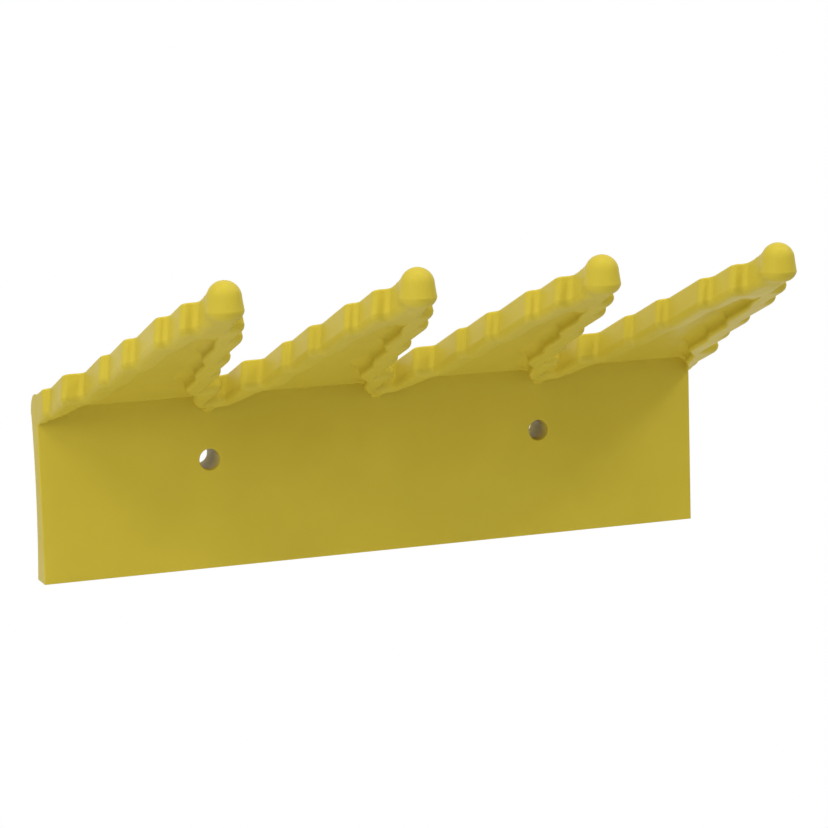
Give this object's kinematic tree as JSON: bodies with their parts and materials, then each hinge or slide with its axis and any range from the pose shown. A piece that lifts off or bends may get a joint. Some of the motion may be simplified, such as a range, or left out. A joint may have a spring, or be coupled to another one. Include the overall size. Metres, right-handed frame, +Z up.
{
  "type": "wall tool hanger",
  "caption": "One-piece moulded plastic wall hanger with stepped, rising prongs; long-handled tools hang by their handles in the slots between the prongs",
  "frame": {"origin": "on the wall, midway between the two screw holes", "axes": "+X along the wall, +Y into the wall, +Z up; the prongs point towards -Y and rise"},
  "size_m": [0.237, 0.1459, 0.1109],
  "materials": {
    "moulding": "moulded"
  },
  "bodies": {
    "root": {"front_plate": "moulding", "top_rim": "moulding", "bottom_rim": "moulding", "left_rim": "moulding", "right_rim": "moulding", "left_boss": "moulding", "right_boss": "moulding", "left_slot_end": "moulding", "middle_slot_end": "moulding", "right_slot_end": "moulding", "prong_1_deck": "moulding", "prong_1_left_rail": "moulding", "prong_1_right_rail": "moulding", "prong_1_tip": "moulding", "prong_2_deck": "moulding", "prong_2_left_rail": "moulding", "prong_2_right_rail": "moulding", "prong_2_tip": "moulding", "prong_3_deck": "moulding", "prong_3_left_rail": "moulding", "prong_3_right_rail": "moulding", "prong_3_tip": "moulding", "prong_4_deck": "moulding", "prong_4_left_rail": "moulding", "prong_4_right_rail": "moulding", "prong_4_tip": "moulding"}
  },
  "joints": []
}
